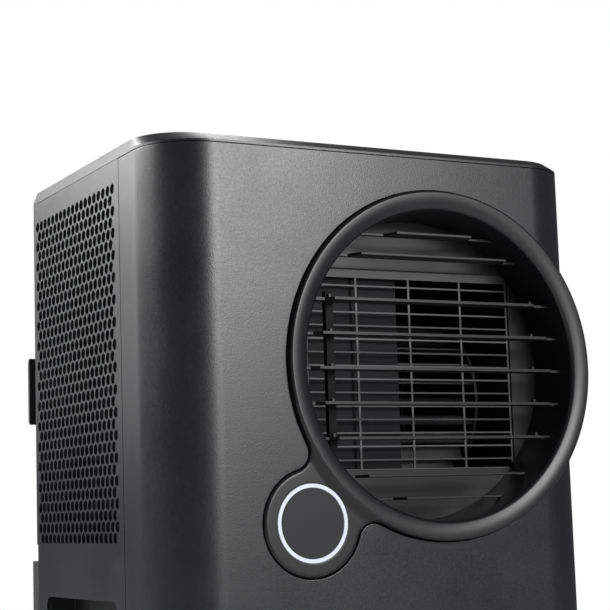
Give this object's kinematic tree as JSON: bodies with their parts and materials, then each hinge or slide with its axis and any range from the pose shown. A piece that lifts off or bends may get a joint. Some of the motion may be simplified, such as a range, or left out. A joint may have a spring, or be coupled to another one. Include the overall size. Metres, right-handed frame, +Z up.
{
  "type": "portable air conditioner",
  "caption": "Free-standing air conditioner on casters with a round louvred outlet, lit power button, perforated intake sides, carrying recesses and a rear exhaust port.",
  "frame": {"origin": "on the floor, midway across the machine's whole width and depth", "axes": "+X to the right as seen from the front, -Y out of the front with the round outlet, +Z up"},
  "size_m": [0.44, 0.3984, 0.741],
  "materials": {
    "cover_plastic": "satin charcoal with a fine leather-like grain",
    "dark_plastic": "near-black moulded plastic, dull",
    "collar_plastic": "near-black satin, smooth",
    "blade_plastic": "dark grey moulded plastic",
    "link_plastic": "black moulded plastic",
    "ring_light": "translucent white, lit from behind",
    "button_plastic": "bluish dark grey satin",
    "panel_gloss": "black gloss touch surface",
    "circuit_board": "green board with solder mask",
    "motor_steel": "zinc-plated pressed steel",
    "guard_paint": "grey coated wire",
    "baffle_paint": "grey painted sheet",
    "wheel_plastic": "dark moulded plastic",
    "coil_aluminium": "bare aluminium fins",
    "compressor_paint": "black painted steel shell",
    "black_rubber": "black rubber",
    "pipe_copper": "bare copper tube",
    "box_paint": "light grey painted sheet",
    "can_aluminium": "drawn aluminium can",
    "bright_steel": "zinc-plated steel",
    "caster_plastic": "black moulded plastic",
    "caster_tread": "black hard plastic tread",
    "filter_mesh": "grey mesh frame"
  },
  "bodies": {
    "casing": {"base_tray": "dark_plastic", "front_cover": "cover_plastic", "side_panel_left": "cover_plastic", "side_panel_right": "cover_plastic", "lower_rear_cover": "dark_plastic", "top_cover": "cover_plastic", "control_panel": "panel_gloss", "outlet_collar": "collar_plastic", "light_ring": "ring_light", "button_board": "circuit_board", "collar_insert": "blade_plastic", "fixed_fins": "blade_plastic", "swing_motor": "motor_steel", "outlet_guard": "guard_paint", "outlet_baffle": "baffle_paint", "handle_cup_left": "dark_plastic", "handle_cup_right": "dark_plastic", "cable_hook_left": "dark_plastic", "cable_hook_right": "dark_plastic", "exhaust_spout": "dark_plastic", "exhaust_duct": "dark_plastic", "power_inlet": "black_rubber", "evaporator": "coil_aluminium", "condenser": "coil_aluminium", "blower_housing": "dark_plastic", "blower_motor": "motor_steel", "condenser_scroll": "dark_plastic", "condenser_motor": "motor_steel", "mid_deck": "dark_plastic", "compressor": "compressor_paint", "compressor_mounts": "black_rubber", "refrigerant_pipes": "pipe_copper", "control_box": "box_paint", "main_board": "circuit_board", "capacitor": "can_aluminium", "case_screws": "bright_steel"},
    "filter_panel": {"rear_grille": "cover_plastic", "air_filter": "filter_mesh"},
    "button": {"power_button": "button_plastic"},
    "link": {"louver_link": "link_plastic"},
    "blower_rotor": {"blower_wheel": "wheel_plastic"},
    "condenser_rotor": {"condenser_wheel": "wheel_plastic"},
    "plug": {"drain_plug": "black_rubber"},
    "blade_1": {"louver_1": "blade_plastic"},
    "blade_2": {"louver_2": "blade_plastic"},
    "blade_3": {"louver_3": "blade_plastic"},
    "blade_4": {"louver_4": "blade_plastic"},
    "blade_5": {"louver_5": "blade_plastic"},
    "caster_fl": {"caster_fork_fl": "caster_plastic", "caster_axle_fl": "bright_steel"},
    "wheel_fl": {"caster_wheel_fl": "caster_tread"},
    "caster_fr": {"caster_fork_fr": "caster_plastic", "caster_axle_fr": "bright_steel"},
    "wheel_fr": {"caster_wheel_fr": "caster_tread"},
    "caster_rl": {"caster_fork_rl": "caster_plastic", "caster_axle_rl": "bright_steel"},
    "wheel_rl": {"caster_wheel_rl": "caster_tread"},
    "caster_rr": {"caster_fork_rr": "caster_plastic", "caster_axle_rr": "bright_steel"},
    "wheel_rr": {"caster_wheel_rr": "caster_tread"}
  },
  "joints": [
    {"name": "link_slide", "type": "slide", "parent": "casing", "child": "link", "axis": [0, 0, 1], "range_m": [-0.0038, 0.0038]},
    {"name": "louver_swing", "type": "hinge", "parent": "casing", "child": "blade_3", "pos_m": [0.0565, -0.17775, 0.5365], "axis": [1, 0, 0], "range_deg": [-25, 25]},
    {"name": "louver_1_swing", "type": "hinge", "parent": "casing", "child": "blade_1", "pos_m": [0.0565, -0.17775, 0.5985], "axis": [1, 0, 0], "range_deg": [-25, 25]},
    {"name": "louver_2_swing", "type": "hinge", "parent": "casing", "child": "blade_2", "pos_m": [0.0565, -0.17775, 0.5675], "axis": [1, 0, 0], "range_deg": [-25, 25]},
    {"name": "louver_4_swing", "type": "hinge", "parent": "casing", "child": "blade_4", "pos_m": [0.0565, -0.17775, 0.5055], "axis": [1, 0, 0], "range_deg": [-25, 25]},
    {"name": "louver_5_swing", "type": "hinge", "parent": "casing", "child": "blade_5", "pos_m": [0.0565, -0.17775, 0.4745], "axis": [1, 0, 0], "range_deg": [-25, 25]},
    {"name": "button_press", "type": "slide", "parent": "casing", "child": "button", "axis": [0, 1, 0], "range_m": [0, 0.0012], "stiffness_N_per_m": 500},
    {"name": "blower_spin", "type": "hinge", "parent": "casing", "child": "blower_rotor", "pos_m": [0.1, -0.01475, 0.5175], "axis": [1, 0, 0], "continuous": true},
    {"name": "condenser_spin", "type": "hinge", "parent": "casing", "child": "condenser_rotor", "pos_m": [-0.066, 0.06525, 0.222], "axis": [0, 1, 0], "continuous": true},
    {"name": "filter_pull", "type": "slide", "parent": "casing", "child": "filter_panel", "axis": [0, 1, 0], "range_m": [0, 0.06]},
    {"name": "plug_pull", "type": "slide", "parent": "casing", "child": "plug", "axis": [0, 1, 0], "range_m": [0, 0.03]},
    {"name": "swivel_fl", "type": "hinge", "parent": "casing", "child": "caster_fl", "pos_m": [-0.158, -0.13075, 0.06], "axis": [0, 0, 1], "continuous": true},
    {"name": "roll_fl", "type": "hinge", "parent": "caster_fl", "child": "wheel_fl", "pos_m": [-0.158, -0.11675, 0.022], "axis": [1, 0, 0], "continuous": true},
    {"name": "swivel_fr", "type": "hinge", "parent": "casing", "child": "caster_fr", "pos_m": [0.158, -0.13075, 0.06], "axis": [0, 0, 1], "continuous": true},
    {"name": "roll_fr", "type": "hinge", "parent": "caster_fr", "child": "wheel_fr", "pos_m": [0.158, -0.11675, 0.022], "axis": [1, 0, 0], "continuous": true},
    {"name": "swivel_rl", "type": "hinge", "parent": "casing", "child": "caster_rl", "pos_m": [-0.158, 0.05725, 0.06], "axis": [0, 0, 1], "continuous": true},
    {"name": "roll_rl", "type": "hinge", "parent": "caster_rl", "child": "wheel_rl", "pos_m": [-0.158, 0.07125, 0.022], "axis": [1, 0, 0], "continuous": true},
    {"name": "swivel_rr", "type": "hinge", "parent": "casing", "child": "caster_rr", "pos_m": [0.158, 0.05725, 0.06], "axis": [0, 0, 1], "continuous": true},
    {"name": "roll_rr", "type": "hinge", "parent": "caster_rr", "child": "wheel_rr", "pos_m": [0.158, 0.07125, 0.022], "axis": [1, 0, 0], "continuous": true}
  ],
  "couplings": [
    {"joint": "louver_swing", "follows": "link_slide", "rad_per_m": 114.72},
    {"joint": "louver_1_swing", "follows": "link_slide", "rad_per_m": 114.72},
    {"joint": "louver_2_swing", "follows": "link_slide", "rad_per_m": 114.72},
    {"joint": "louver_4_swing", "follows": "link_slide", "rad_per_m": 114.72},
    {"joint": "louver_5_swing", "follows": "link_slide", "rad_per_m": 114.72}
  ]
}
